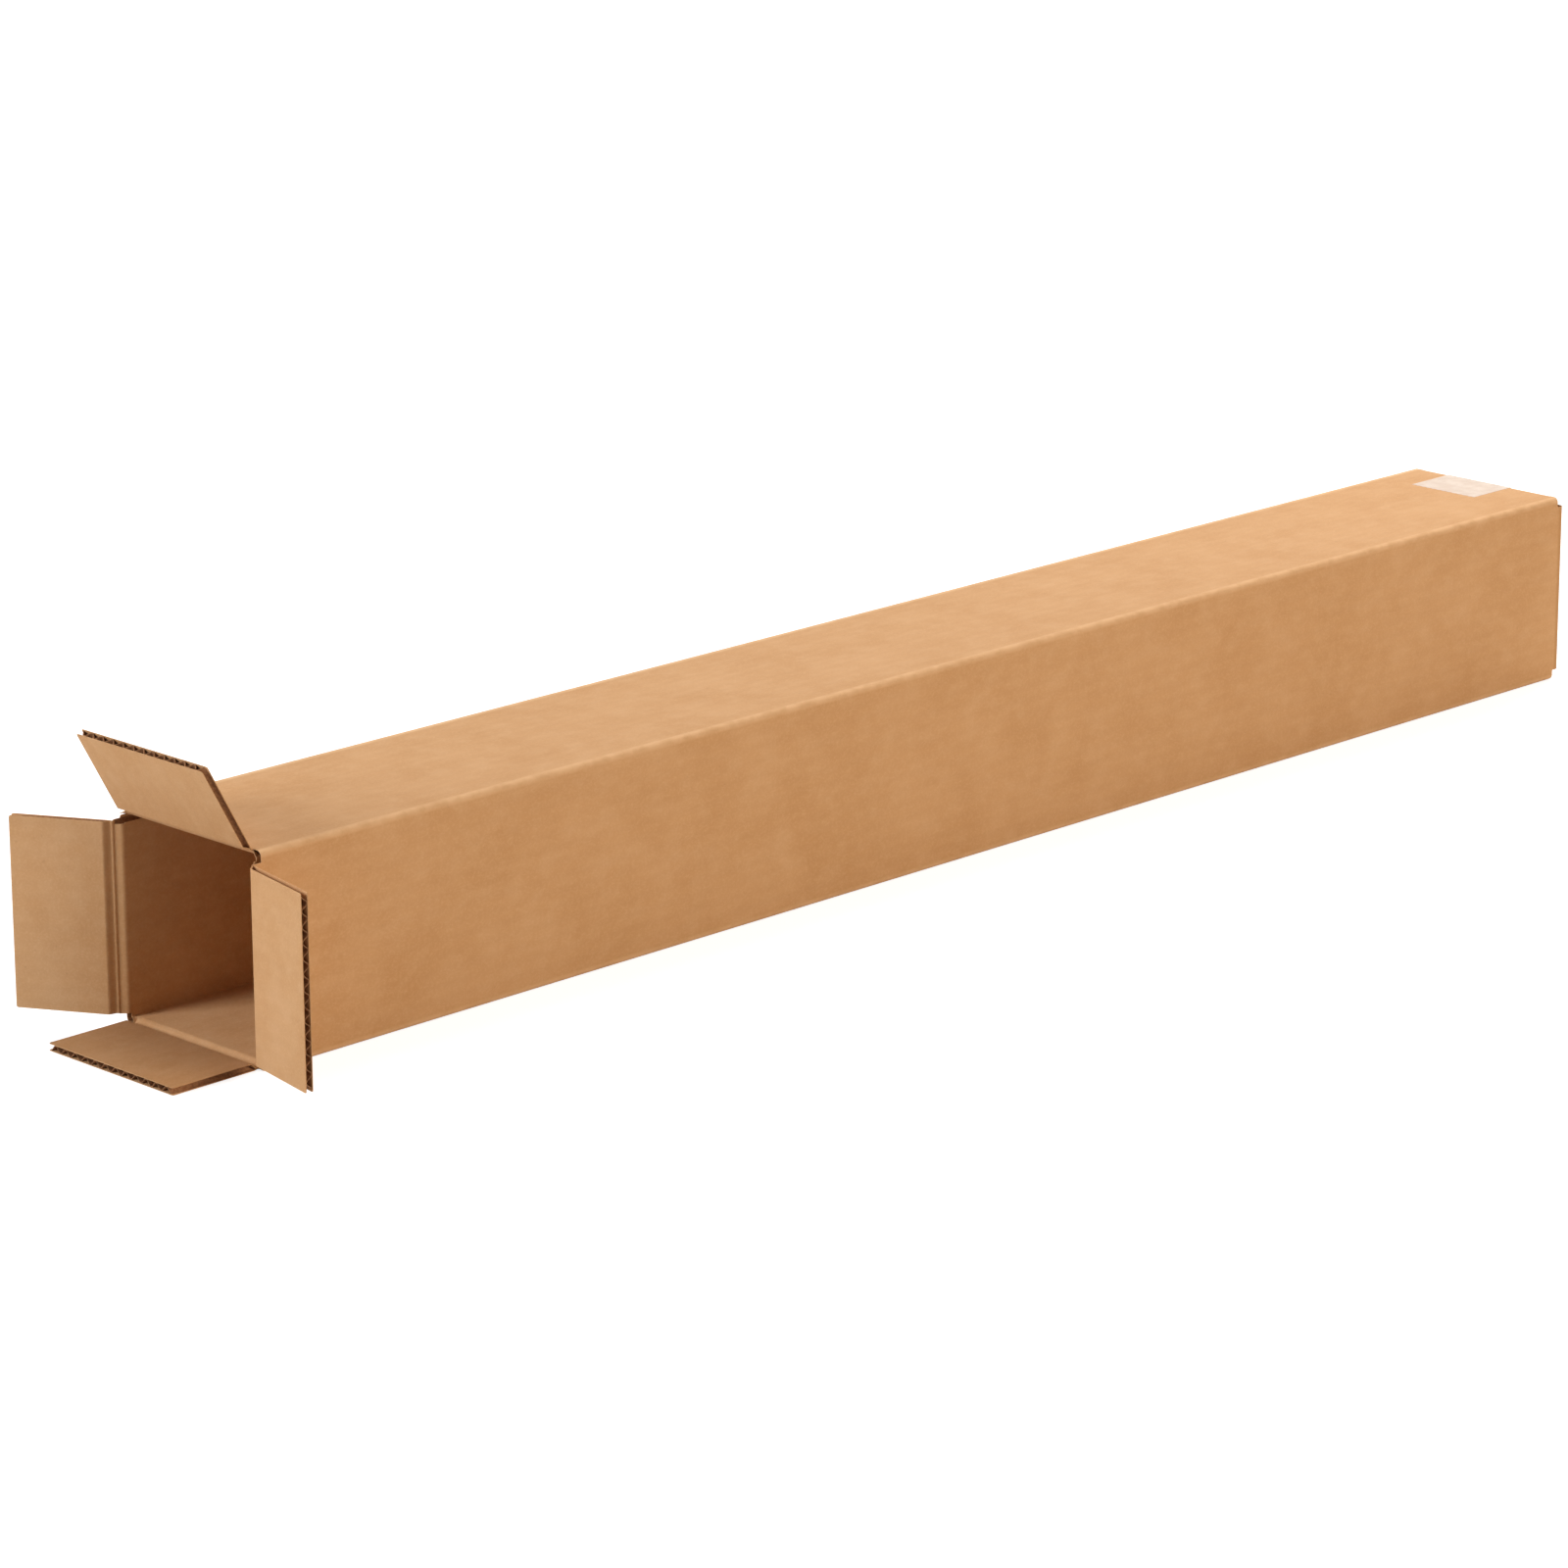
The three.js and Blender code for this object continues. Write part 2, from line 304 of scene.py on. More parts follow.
# %% Describe the four panels
PANELS = {
    "top": {"crease": INNER_CREASE, "out": Vector((0, 0, 1)), "half": WIDTH / 2 - SLOT_INSET,
            "face": Vector((0, 0, HEIGHT))},
    "bottom": {"crease": INNER_CREASE, "out": Vector((0, 0, -1)), "half": WIDTH / 2 - SLOT_INSET,
               "face": Vector((0, 0, 0))},
    "front": {"crease": OUTER_CREASE, "out": Vector((0, -1, 0)), "half": HEIGHT / 2 - SLOT_INSET,
              "face": Vector((0, -WIDTH / 2, HEIGHT / 2))},
    "back": {"crease": OUTER_CREASE, "out": Vector((0, 1, 0)), "half": HEIGHT / 2 - SLOT_INSET,
             "face": Vector((0, WIDTH / 2, HEIGHT / 2))},
}


def on_panel(panel, depth):
    """A test for points on one panel between its slots, at a depth below its outer face."""
    across = Vector((1, 0, 0)).cross(panel["out"])

    def test(co):
        place = co - panel["face"]
        level = abs(place.dot(panel["out"]) + depth) < NEAR
        return level and abs(place.dot(across)) < panel["half"] + NEAR
    return test


def shape_near_end(liner, panel, depth, shift, sign):
    """Runs a panel on to its crease and moves its end as the crease is crushed."""
    crease, on = panel["crease"], on_panel(panel, depth)
    ahead = [d for d in CREASE_STATIONS if crease - d > SLOT_END + NEAR]
    pick(liner, lambda co: on(co) and co.x < NEAR - SLOT_END)
    reached = SLOT_END
    for distance in ahead:
        pull_out((reached - (crease - distance), 0, 0))
        reached = crease - distance
    bpy.ops.object.mode_set(mode="OBJECT")
    points = liner.data.vertices
    places = sorted({round(p.co.x, 6) for p in points if p.co.x < -crease + CRUSH_INSIDE})
    rows = [(x, {p.index for p in points if abs(p.co.x - x) < NEAR and on(p.co)}) for x in places]
    for x, row in rows:
        for point in liner.data.vertices:
            point.select = point.index in row
        bpy.ops.object.mode_set(mode="EDIT")
        bpy.ops.transform.translate(value=panel["out"] * sign * shift(crease + x))
        bpy.ops.mesh.select_all(action="DESELECT")
        bpy.ops.object.mode_set(mode="OBJECT")


def shape_far_end(liner, panel, depth):
    """Turns a panel's far end round its fold and down as the shut flap."""
    on = on_panel(panel, depth)
    far_face = panel["crease"] + CREASE_DEPTH - depth
    radius = max(END_FOLD_RADIUS - depth, LEAST_END_FOLD)
    start = far_face - radius
    if start < SLOT_END:
        cut(liner, [start], (1, 0, 0))
        pick(liner, lambda co: on(co) and co.x > start - NEAR)
        bpy.ops.mesh.delete(type="ONLY_FACE")
        pick(liner, lambda co: on(co) and abs(co.x - start) < NEAR)
    else:
        pick(liner, lambda co: on(co) and co.x > SLOT_END - NEAR)
        pull_out((start - SLOT_END, 0, 0))
    hub = panel["face"] - panel["out"] * (depth + radius) + Vector((start, 0, 0))
    axis = Vector((1, 0, 0)).cross(panel["out"])
    bpy.ops.mesh.spin(steps=5, angle=math.pi / 2, center=hub, axis=axis)
    pull_out(panel["out"] * (depth + radius - FLAP_REACH))


print("folds:", round(FOLD_RADIUS / MM, 1), "mm round,",
      "glued one", round(GLUED_FOLD_RADIUS / MM, 1), "mm")

# %% [markdown]
# ## Fold, slot and shut both liners
# The slots are lines across the sheet first, so that a panel can be crushed or folded between them
# while its corners stay. Rows of edges at the crease stations give the crushed ends their slopes.

# %% Both liners of the tube
INNER_DEPTH = BOARD - LINER


def trim_tab(liner, depth, root):
    """Cuts the two slanting ends of the glue tab, which stops short of the creases."""
    level, end = HEIGHT - BOARD - depth, INNER_CREASE - TAB_SETBACK
    slant = Vector((TAB_WIDTH - SLOT_INSET + BOARD, TAB_TAPER, 0)).normalized()
    for way in (-1, 1):
        pick(liner, lambda co: abs(co.z - level) < NEAR and co.y < root + NEAR)
        bpy.ops.mesh.bisect(plane_co=(way * end, root, 0), plane_no=(way * slant.x, -slant.y, 0),
                            clear_outer=True)


def make_liner(name, depth, shift, sign):
    """Folds a liner, cuts its slots and tab, shapes both of its ends and gives it its thickness."""
    liner = fold_liner(name, depth)
    slot_y, slot_z = WIDTH / 2 - SLOT_INSET, HEIGHT - SLOT_INSET
    cut(liner, [-slot_y, slot_y], (0, 1, 0))
    trim_tab(liner, depth, slot_y)
    cut(liner, [SLOT_INSET, slot_z], (0, 0, 1))
    cut(liner, [d - INNER_CREASE for d in CREASE_STATIONS if INNER_CREASE - d < SLOT_END],
        (1, 0, 0))
    cut(liner, [CRUSH_INSIDE + CRUSH_MARGIN - OUTER_CREASE], (1, 0, 0))
    for panel in PANELS.values():
        shape_far_end(liner, panel, depth)
    for panel in PANELS.values():
        shape_near_end(liner, panel, depth, shift, sign)
    set_outwards(liner)
    thicken(liner, LINER)
    liner.data.materials.append(kraft_tube)
    return liner


outer_liner = make_liner("outer_liner", 0, outer_shift, -1)
inner_liner = make_liner("inner_liner", INNER_DEPTH, inner_shift, 1)
print("liners:", len(outer_liner.data.polygons), "and", len(inner_liner.data.polygons), "faces")

# %% [markdown]
# ## The waved sheet between the liners
# The medium starts as a flat grid with four rows of points to a flute. Two rows are lifted, two
# are lowered, and a subdivision surface rounds the steps into a wave. A sine formula would give
# the same wave, but rows that are pushed one by one can also be flattened where the board is
# crushed.

# %% Make a waved sheet
ROUNDED_SHARE = 0.917  # how much of the rows' height is left when the subdivision has rounded them
WAVE_HEIGHT = (BOARD / 2 - LINER - MEDIUM / 2) / ROUNDED_SHARE
WAVE_INSET = 0.6 * MM
WAVE_SETBACK = 0.2 * MM
LEAST_WAVE = 0.05


def wave_sheet(name, width, start, end, crease_end):
    """A medium lying below z = 0, along x from start to end, with its crease, if any, at x = 0."""
    columns = round(4 * width / FLUTE_PITCH)
    bpy.ops.object.select_all(action="DESELECT")
    bpy.ops.mesh.primitive_grid_add(x_subdivisions=1, y_subdivisions=columns, size=1,
                                    location=((start + end) / 2, 0, -BOARD / 2))
    bpy.context.object.scale = (abs(end - start), width, 1)
    sheet = start_piece(name)
    step = width / columns
    pick(sheet, lambda co: round((co.y + width / 2) / step) % 4 < 2)
    bpy.ops.transform.translate(value=(0, 0, WAVE_HEIGHT))
    bpy.ops.mesh.select_all(action="INVERT")
    bpy.ops.transform.translate(value=(0, 0, -WAVE_HEIGHT))
    if crease_end:
        way = math.copysign(1, end - start)
        stations = CREASE_STATIONS[:-1] + (WAVE_GAP,)
        cut(sheet, [way * d for d in stations[:-1]], (1, 0, 0))
        for distance in stations:
            dip, rise = outer_shift(distance), inner_shift(distance)
            pick(sheet, lambda co: abs(abs(co.x) - distance) < NEAR)
            flat = max(1 - (dip + rise) / (BOARD - 2 * LINER), LEAST_WAVE)
            bpy.ops.transform.resize(value=(1, 1, flat), center_override=(0, 0, -BOARD / 2))
            bpy.ops.transform.translate(value=(0, 0, (rise - dip) / 2))
    rounder = sheet.modifiers.new("Round the flutes", "SUBSURF")
    rounder.levels = rounder.render_levels = 2
    thicken(sheet, MEDIUM, offset=0)
    sheet.data.materials.append(fluting)
    return sheet


def put(piece, matrix):
    """Moves a finished piece to its place and writes that place into its mesh."""
    bpy.ops.object.mode_set(mode="OBJECT")
    bpy.ops.object.select_all(action="DESELECT")
    piece.select_set(True)
    bpy.context.view_layer.objects.active = piece
    piece.matrix_world = matrix
    bpy.ops.object.transform_apply(location=True, rotation=True, scale=True)
    return piece


# %% The medium of the four panels and their shut flaps
ROLL = {"top": 0, "bottom": 180, "front": 90, "back": -90}
board_parts = [outer_liner, inner_liner]
for name, panel in PANELS.items():
    crease, half = panel["crease"], panel["half"]
    roll = Matrix.Rotation(math.radians(ROLL[name]), 4, "X")
    far_face = crease + CREASE_DEPTH
    long_wave = wave_sheet(name + "_medium", 2 * half, WAVE_GAP, crease + far_face - BOARD, True)
    put(long_wave, Matrix.Translation(panel["face"] - Vector((crease, 0, 0))) @ roll)
    end_wave = wave_sheet(name + "_end_medium", 2 * half, BOARD, FLAP_REACH, False)
    down = Matrix.Rotation(math.pi / 2, 4, "Y")
    put(end_wave, Matrix.Translation(panel["face"] + Vector((far_face, 0, 0))) @ roll @ down)
    board_parts += [long_wave, end_wave]

carton = join("carton_board", board_parts)
print("carton:", len(carton.data.polygons), "faces")

# %% [markdown]
# ## The open flaps
# Each open flap is the same board: two liners and a waved sheet, crushed where it meets its crease.
# It is modelled flat with its crease at x = 0, then leaned out and moved to its panel. Its two free
# corners are rounded a little, as they are on a carton that has been handled.

# %% Make a flap
CORNER_WEAR = 1.0 * MM


def flap_liner(name, width, depth, shift, sign):
    """One flat liner of a flap, with worn free corners and its end crushed towards the crease."""
    bpy.ops.object.select_all(action="DESELECT")
    middle = (-(FLAP_LENGTH + CREASE_GAP) / 2, 0, -depth - LINER / 2)
    bpy.ops.mesh.primitive_cube_add(size=1, location=middle)
    bpy.context.object.scale = (FLAP_LENGTH - CREASE_GAP, width, LINER)
    liner = start_piece(name)
    free_end = NEAR - FLAP_LENGTH
    pick_edges(liner, lambda a, b: a.x < free_end and b.x < free_end and abs(a.y - b.y) < NEAR)
    bpy.ops.mesh.bevel(offset=CORNER_WEAR, segments=3, affect="EDGES")
    bpy.ops.mesh.select_mode(type="VERT")
    cut(liner, [-d for d in CREASE_STATIONS[:-1]], (1, 0, 0))
    for distance in CREASE_STATIONS:
        pick(liner, lambda co: abs(co.x + distance) < NEAR)
        bpy.ops.transform.translate(value=(0, 0, sign * shift(distance)))
    bpy.ops.object.mode_set(mode="OBJECT")
    liner.data.materials.append(kraft_flap)
    return liner


def flap_board(name, width):
    """A whole flap: an outer liner, a waved sheet and an inner liner."""
    outer = flap_liner(name + "_outer", width, 0, outer_shift, -1)
    inner = flap_liner(name + "_inner", width, INNER_DEPTH, inner_shift, 1)
    wave = wave_sheet(name + "_wave", width - WAVE_INSET, -WAVE_GAP, WAVE_SETBACK - FLAP_LENGTH,
                      True)
    return join(name, [outer, wave, inner])


def at_crease(name):
    """The place of a panel's crease, turned so that z looks out of the panel."""
    panel = PANELS[name]
    centre = panel["face"] - panel["out"] * CREASE_DEPTH - Vector((panel["crease"], 0, 0))
    return Matrix.Translation(centre) @ Matrix.Rotation(math.radians(ROLL[name]), 4, "X")


flaps = {}
lift = Matrix.Translation((0, 0, CREASE_DEPTH))
for name, panel in PANELS.items():
    flap = flap_board(name + "_flap_board", 2 * (panel["half"] - FLAP_CLEARANCE))
    lean = Matrix.Rotation(math.radians(LEAN[name]), 4, "Y")
    flaps[name] = put(flap, at_crease(name) @ lean @ lift)
    print(flap.name, len(flap.data.polygons), "faces")

# %% [markdown]
# ## The bent paper of each crease
# Between a panel and its flap the pinched liners are one bent strip. It has to follow the flap,
# so it is a piece of its own that blends from the box to the flap. The strip is bent at rest by
# turning its points about the crease, a step at a time, from the panel's side to the flap's.

# %% Make the crease strips
WEB_REACH = 1.2 * MM
WEB_STEPS = 8
WEB_THICKNESS = 0.46 * MM


def crease_strip(name, width, lean):
    """A strip of pinched paper, bent about the crease by the lean of its flap."""
    bpy.ops.object.select_all(action="DESELECT")
    level = -(BOARD - INNER_RISE - OUTER_DIP) / 2 - OUTER_DIP + CREASE_DEPTH
    bpy.ops.mesh.primitive_grid_add(x_subdivisions=WEB_STEPS, y_subdivisions=1, size=1,
                                    location=(0, 0, level))
    bpy.context.object.scale = (2 * WEB_REACH, width, 1)
    strip = start_piece(name)
    thicken(strip, WEB_THICKNESS, offset=0)
    strip.data.materials.append(kraft_flap)
    step = 2 * WEB_REACH / WEB_STEPS
    for point in strip.data.vertices:
        share = min(max((1 - point.co.x / (WEB_REACH - step)) / 2, 0), 1)
        point.co = Matrix.Rotation(math.radians(lean * share), 3, "Y") @ point.co
    return strip


strips = {}
for name, panel in PANELS.items():
    strip = crease_strip(name + "_crease", 2 * (panel["half"] - FLAP_CLEARANCE), LEAN[name])
    place = at_crease(name)
    strips[name] = put(strip, place)
    lean = Matrix.Rotation(math.radians(LEAN[name]), 4, "Y")
    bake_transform(strip)
print("crease strips:", len(strips))

# %% [markdown]
# ## The tape
# A strip of clear tape laps the top panel, bridges down over the shut flaps and laps the bottom. It
# is a plane at the size of the lap, and its edge is extruded along the way that the tape takes. The
# two ends carry the small teeth of the cutter: every other point of the end row is pulled back.

# %% Lay the tape
TAPE_WIDTH = 48 * MM
TAPE_OFFSET = 6 * MM
TAPE_FILM = 0.1 * MM
TAPE_LIFT = 0.12 * MM
TAPE_TEETH = 24
TOOTH_DEPTH = 0.7 * MM
LAP_STEPS = 6
DROP_STEPS = 8

tape_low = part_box("end_tape")[0]
lap_start, far_face = tape_low.x, high.x + TAPE_LIFT
bend = INNER_CREASE - CREASE_DEPTH
drop = SLOT_INSET - FLAP_CLEARANCE
roof = HEIGHT + TAPE_LIFT
bpy.ops.object.select_all(action="DESELECT")
bpy.ops.mesh.primitive_grid_add(x_subdivisions=LAP_STEPS, y_subdivisions=TAPE_TEETH, size=1,
                                location=((lap_start + bend) / 2, TAPE_OFFSET, roof))
bpy.context.object.scale = (bend - lap_start, TAPE_WIDTH, 1)
tape = start_piece("packing_tape")
pick(tape, lambda co: co.x > bend - NEAR)
pull_out((far_face - bend, 0, -drop - TAPE_LIFT),
         *[(0, 0, (2 * drop - HEIGHT) / DROP_STEPS)] * DROP_STEPS,
         (bend - far_face, 0, -drop - TAPE_LIFT),
         *[((lap_start - bend) / LAP_STEPS, 0, 0)] * LAP_STEPS)
tooth = TAPE_WIDTH / TAPE_TEETH
pick(tape, lambda co: co.x < lap_start + NEAR
     and round((co.y - TAPE_OFFSET + TAPE_WIDTH / 2) / tooth) % 2 == 1)
bpy.ops.transform.translate(value=(TOOTH_DEPTH, 0, 0))
pick(tape, lambda co: True)
bpy.ops.mesh.normals_make_consistent(inside=False)
bpy.ops.object.mode_set(mode="OBJECT")
first = max(tape.data.polygons, key=lambda face: face.center.z)
if first.normal.z < 0:
    bpy.ops.object.mode_set(mode="EDIT")
    bpy.ops.mesh.flip_normals()
thicken(tape, TAPE_FILM)
print("tape", len(tape.data.polygons), "faces")

# %% [markdown]
# ## Kraft paper
# Kraft liner is a matt brown paper. Close to, it has short fibres that lie along the sheet, pale
# and dark flecks, and clouds where the pulp is thicker. The flutes show through as faint
# washboard ridges: a small bump, with their shade painted in as faint darker stripes. All of it
# is made from noise and a wave on Object coordinates, so it stays on the piece when a flap turns.
# The wave runs across the flutes: along y on the top and bottom, along z on the sides. The tube's
# long folds get a paler band, partly wear and partly a painted highlight, and the sides close to
# its far fold get a painted shade.

# %% A small node writer
class Nodes:
    """Adds shader nodes with short calls, and links or sets their inputs."""

    def __init__(self, material):
        self.tree = material.node_tree

    def new(self, kind):
        return self.tree.nodes.new("ShaderNode" + kind)

    def feed(self, socket, value):
        if isinstance(value, bpy.types.NodeSocket):
            self.tree.links.new(value, socket)
        else:
            socket.default_value = value

    def math(self, operation, *values):
        node = self.new("Math")
        node.operation = operation
        for socket, value in zip(node.inputs, values):
            self.feed(socket, value)
        return node.outputs[0]

    def mix(self, share, a, b):
        node = self.new("Mix")
        node.data_type = "RGBA"
        self.feed(node.inputs[0], share)
        self.feed(node.inputs[6], a)
        self.feed(node.inputs[7], b)
        return node.outputs[2]

    def span(self, value, low, high, to_low=0, to_high=1):
        node = self.new("MapRange")
        for socket, item in zip(node.inputs, (value, low, high, to_low, to_high)):
            self.feed(socket, item)
        return node.outputs[0]

    def noise(self, place, scale, detail=4):
        node = self.new("TexNoise")
        self.feed(node.inputs["Vector"], place)
        self.feed(node.inputs["Scale"], scale)
        self.feed(node.inputs["Detail"], detail)
        return node.outputs["Fac"]


# %% Kraft board
KRAFT = (0.66, 0.375, 0.175, 1)
KRAFT_DARK = (0.605, 0.328, 0.142, 1)
KRAFT_PALE = (0.78, 0.5, 0.28, 1)
KRAFT_WEAR_AND_HIGHLIGHT = (0.82, 0.52, 0.28, 1)
KRAFT_FAR_FOLD_SHADE = (0.46, 0.22, 0.075, 1)
FLECK_AND_FLUTE_SHADE = (0.4, 0.2, 0.085, 1)
FAR_FOLD = high.x


def kraft(material, fold_wear_and_painted_light):
    """Writes the kraft paper into a material, with or without the tube's fold wear and its painted
    fold highlight and shade.
    """
    material.use_nodes = True
    nodes = Nodes(material)
    place = nodes.new("TexCoord")
    split = nodes.new("SeparateXYZ")
    facing = nodes.new("SeparateXYZ")
    nodes.feed(split.inputs[0], place.outputs["Object"])
    nodes.feed(facing.inputs[0], place.outputs["Normal"])
    x, y, z = split.outputs
    along = nodes.new("Mapping")
    nodes.feed(along.inputs["Vector"], place.outputs["Object"])
    along.inputs["Scale"].default_value = (0.8, 1, 1)
    clouds = nodes.noise(place.outputs["Object"], 26, 5)
    fibres = nodes.noise(along.outputs[0], 900, 6)
    flecks = nodes.noise(along.outputs[0], 420, 2)
    blotches = nodes.noise(along.outputs[0], 95, 3)
    colour = nodes.mix(nodes.span(clouds, 0.35, 0.68), KRAFT_DARK, KRAFT)
    colour = nodes.mix(nodes.span(blotches, 0.45, 0.75, 0, 0.22), colour, KRAFT_PALE)
    colour = nodes.mix(nodes.span(fibres, 0.45, 0.75, 0, 0.35), colour, KRAFT_PALE)
    colour = nodes.mix(nodes.span(flecks, 0.68, 0.76, 0, 0.22), colour, FLECK_AND_FLUTE_SHADE)
    up = nodes.math("ABSOLUTE", facing.outputs[2])
    sideways = nodes.math("ABSOLUTE", facing.outputs[1])
    is_flat = nodes.math("GREATER_THAN", up, sideways)
    across = nodes.math("ADD", nodes.math("MULTIPLY", y, is_flat),
                        nodes.math("MULTIPLY", z, nodes.math("SUBTRACT", 1, is_flat)))
    ripple = nodes.math("SINE", nodes.math("MULTIPLY", across, 2 * math.pi / FLUTE_PITCH))
    # Painted shade: faint darker stripes between the flute ridges, in the fleck colour.
    colour = nodes.mix(nodes.span(ripple, -1, 1, 0, 0.045), colour, FLECK_AND_FLUTE_SHADE)
    if fold_wear_and_painted_light:
        from_side = nodes.math("SUBTRACT", WIDTH / 2, nodes.math("ABSOLUTE", y))
        from_end = nodes.math("MINIMUM", z, nodes.math("SUBTRACT", HEIGHT, z))
        distance = nodes.math("ADD", from_side, from_end)
        # Partly wear and partly a painted highlight: a paler band along the tube's long folds.
        fold_wear_and_highlight = nodes.math("MULTIPLY", nodes.span(distance, 1.6 * MM, 4 * MM, 1, 0),
                            nodes.span(nodes.noise(along.outputs[0], 160), 0.35, 0.6, 0.5, 1))
        colour = nodes.mix(fold_wear_and_highlight, colour, KRAFT_WEAR_AND_HIGHLIGHT)
        # Painted shade: the sides are darker close to the far fold.
        far_fold_shade = nodes.math("MULTIPLY", nodes.span(x, FAR_FOLD - 5 * MM, FAR_FOLD - 3.5 * MM),
                             nodes.span(up, 0.3, 0.5, 0.5, 0))
        colour = nodes.mix(far_fold_shade, colour, KRAFT_FAR_FOLD_SHADE)
    height = nodes.math("ADD", nodes.math("MULTIPLY", ripple, 0.03 * MM),
                        nodes.math("MULTIPLY", fibres, 0.05 * MM))
    height = nodes.math("ADD", height, nodes.math("MULTIPLY", clouds, 0.2 * MM))
    bump = nodes.new("Bump")
    bump.inputs["Strength"].default_value = 0.6
    bump.inputs["Distance"].default_value = 1
    nodes.feed(bump.inputs["Height"], height)
    paper = nodes.tree.nodes["Principled BSDF"]
    nodes.feed(paper.inputs["Base Color"], colour)
    nodes.feed(paper.inputs["Normal"], bump.outputs[0])
    nodes.feed(paper.inputs["Roughness"], nodes.span(fibres, 0.3, 0.7, 0.8, 0.95))
    paper.inputs["Specular IOR Level"].default_value = 0.25


def dress(piece, node=None):
    """Gives a piece its smooth curves and hides the node it replaces."""
    bpy.ops.object.select_all(action="DESELECT")
    piece.select_set(True)
    bpy.context.view_layer.objects.active = piece
    bpy.ops.object.shade_smooth_by_angle(angle=math.radians(32))
    if node:
        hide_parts(node)


kraft(kraft_tube, True)
kraft(kraft_flap, False)
dress(carton, "carton")
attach(carton, "carton")
for name, flap in flaps.items():
    dress(flap, name + "_flap")
    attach(flap, name + "_flap")
    dress(strips[name])
print("kraft on", 1 + len(flaps) + len(strips), "pieces")

# %% [markdown]
# ## Fluting
# The waved sheet is made of a rougher and darker paper than the liners, and its two browns are
# darkened further with painted shade, as it shows only at the cut edges, as thin curls in the dark
# flute openings. Two browns mixed by a fine noise are enough.

# %% Fluting paper
# Both browns hold the paper's own darker tone and painted shade of the flute openings.
FLUTING_DARK_SHADED = (0.27, 0.125, 0.055, 1)
FLUTING_PALE_SHADED = (0.42, 0.21, 0.095, 1)

fluting.use_nodes = True
nodes = Nodes(fluting)
where = nodes.new("TexCoord").outputs["Object"]
pulp = nodes.noise(where, 700)
paper = nodes.tree.nodes["Principled BSDF"]
nodes.feed(paper.inputs["Base Color"],
           nodes.mix(nodes.span(pulp, 0.35, 0.65), FLUTING_DARK_SHADED, FLUTING_PALE_SHADED))
paper.inputs["Roughness"].default_value = 0.95
print("fluting mixed")

# %% [markdown]
# ## Clear tape
# Packing tape is a thin glossy film with glue behind it. Where it is pressed down it looks milky,
# and small pockets of air under it look paler still. A plain alpha lets the board show through,
# and a little noise in the colour and bump gives the pockets and the faint ripples.

# %% Tape film
TAPE_BROWN = (0.9, 0.74, 0.6, 1)
TAPE_MILKY = (0.99, 0.86, 0.73, 1)

film = bpy.data.materials.new("tape_film")
film.use_nodes = True
nodes = Nodes(film)
where = nodes.new("TexCoord").outputs["Object"]
pockets = nodes.noise(where, 130, 5)
surface = nodes.tree.nodes["Principled BSDF"]
nodes.feed(surface.inputs["Base Color"],
           nodes.mix(nodes.span(pockets, 0.4, 0.62), TAPE_BROWN, TAPE_MILKY))
surface.inputs["Alpha"].default_value = 0.62
surface.inputs["Roughness"].default_value = 0.3
ripples = nodes.new("Bump")
ripples.inputs["Strength"].default_value = 0.5
ripples.inputs["Distance"].default_value = 1
nodes.feed(ripples.inputs["Height"], nodes.math("MULTIPLY", nodes.noise(where, 60, 3), 0.4 * MM))
nodes.feed(surface.inputs["Normal"], ripples.outputs[0])
tape.data.materials.append(film)
dress(tape, "end_tape")
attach(tape, "carton")
print("tape over the shut end")

# %% [markdown]
# ## Floor and light
# The photograph has a white ground with hardly a shadow. The floor here is a white sheet that
# adds a little light of its own where it is seen, so it reads as white and still keeps a trace of
# the shadow. One wide lamp over the far end, a weaker warm one in front and a third beyond the
# open end stand for the studio's soft boxes. The third is what lights the flaps while the inside
# stays dark.

# %% Floor
FLOOR_RADIUS = 30
FLOOR_DROP = 0.05 * MM
FLOOR_GLOW = 0.82


def seen_ray(nodes):
    """1 where a surface is seen straight, in a reflection or through the tape, and 0 as a light."""
    ray = nodes.new("LightPath").outputs
    behind = nodes.math("MAXIMUM", ray["Is Glossy Ray"], ray["Is Transmission Ray"])
    return nodes.math("MAXIMUM", ray["Is Camera Ray"], behind)


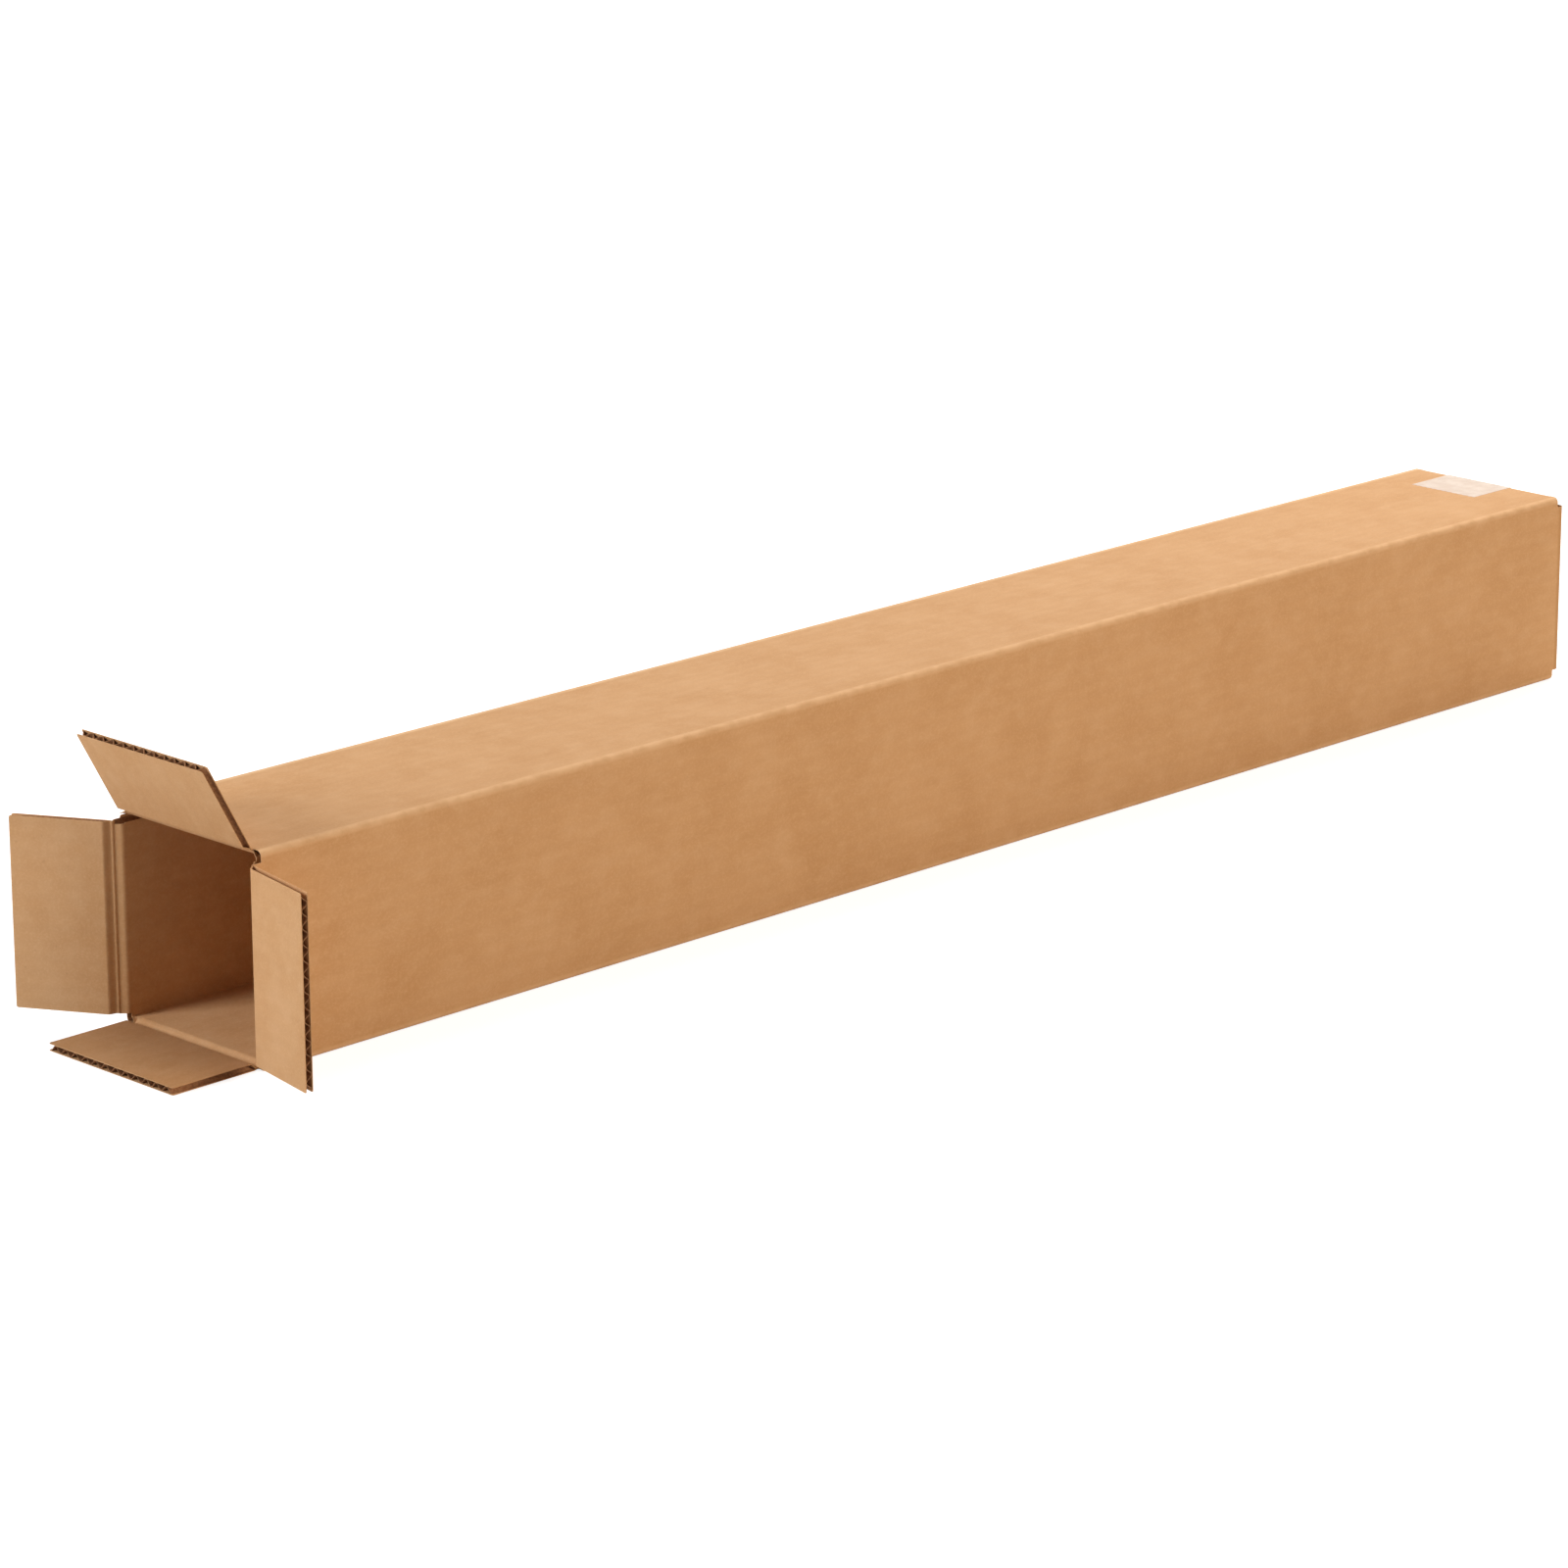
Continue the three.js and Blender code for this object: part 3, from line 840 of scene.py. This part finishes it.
bpy.ops.object.select_all(action="DESELECT")
bpy.ops.mesh.primitive_circle_add(vertices=64, radius=FLOOR_RADIUS, fill_type="NGON",
                                  location=(0, 0, tape_low.z - FLOOR_DROP))
floor = start_piece("studio_floor")
bpy.ops.object.mode_set(mode="OBJECT")
white = bpy.data.materials.new("studio_white")
white.use_nodes = True
nodes = Nodes(white)
matt = nodes.tree.nodes["Principled BSDF"]
matt.inputs["Base Color"].default_value = (0.55, 0.55, 0.55, 1)
matt.inputs["Roughness"].default_value = 0.9
glow = nodes.new("Emission")
nodes.feed(glow.inputs["Strength"], nodes.math("MULTIPLY", seen_ray(nodes), FLOOR_GLOW))
both = nodes.new("AddShader")
nodes.feed(both.inputs[0], matt.outputs[0])
nodes.feed(both.inputs[1], glow.outputs[0])
nodes.tree.links.new(both.outputs[0], nodes.tree.nodes["Material Output"].inputs["Surface"])
floor.data.materials.append(white)

# %% World and lamps
SKY_LEVEL = 0.14
world = bpy.data.worlds.new("studio")
bpy.context.scene.world = world
world.use_nodes = True
nodes = Nodes(world)
plain = nodes.tree.nodes["Background"]
plain.inputs["Color"].default_value = (1, 0.98, 0.95, 1)
plain.inputs["Strength"].default_value = SKY_LEVEL
backdrop = nodes.new("Background")
backdrop.inputs["Color"].default_value = (1, 1, 1, 1)
choose = nodes.new("MixShader")
nodes.feed(choose.inputs[0], seen_ray(nodes))
nodes.feed(choose.inputs[1], plain.outputs[0])
nodes.feed(choose.inputs[2], backdrop.outputs[0])
nodes.tree.links.new(choose.outputs[0], nodes.tree.nodes["World Output"].inputs["Surface"])


def soft_box(name, place, aim, size, power, colour):
    """Adds a round area lamp that looks at a point."""
    bpy.ops.object.light_add(type="AREA", location=place)
    lamp = bpy.context.object
    lamp.name = name
    lamp.data.shape = "DISK"
    lamp.data.size = size
    lamp.data.energy = power
    lamp.data.color = colour
    lamp.rotation_euler = (Vector(aim) - Vector(place)).to_track_quat("-Z", "Y").to_euler()


soft_box("key_light", (2.3, 1.0, 2.4), (0.3, 0, 0), 1.6, 111, (1, 0.97, 0.94))
soft_box("front_light", (0.25, -3.0, 1.0), (0, 0, 0.05), 1.4, 52, (1, 0.84, 0.68))
soft_box("mouth_light", (-2.4, 0.7, 0.9), (-0.5, 0, 0.05), 1.0, 37, (0.93, 0.95, 1))
print("lit")
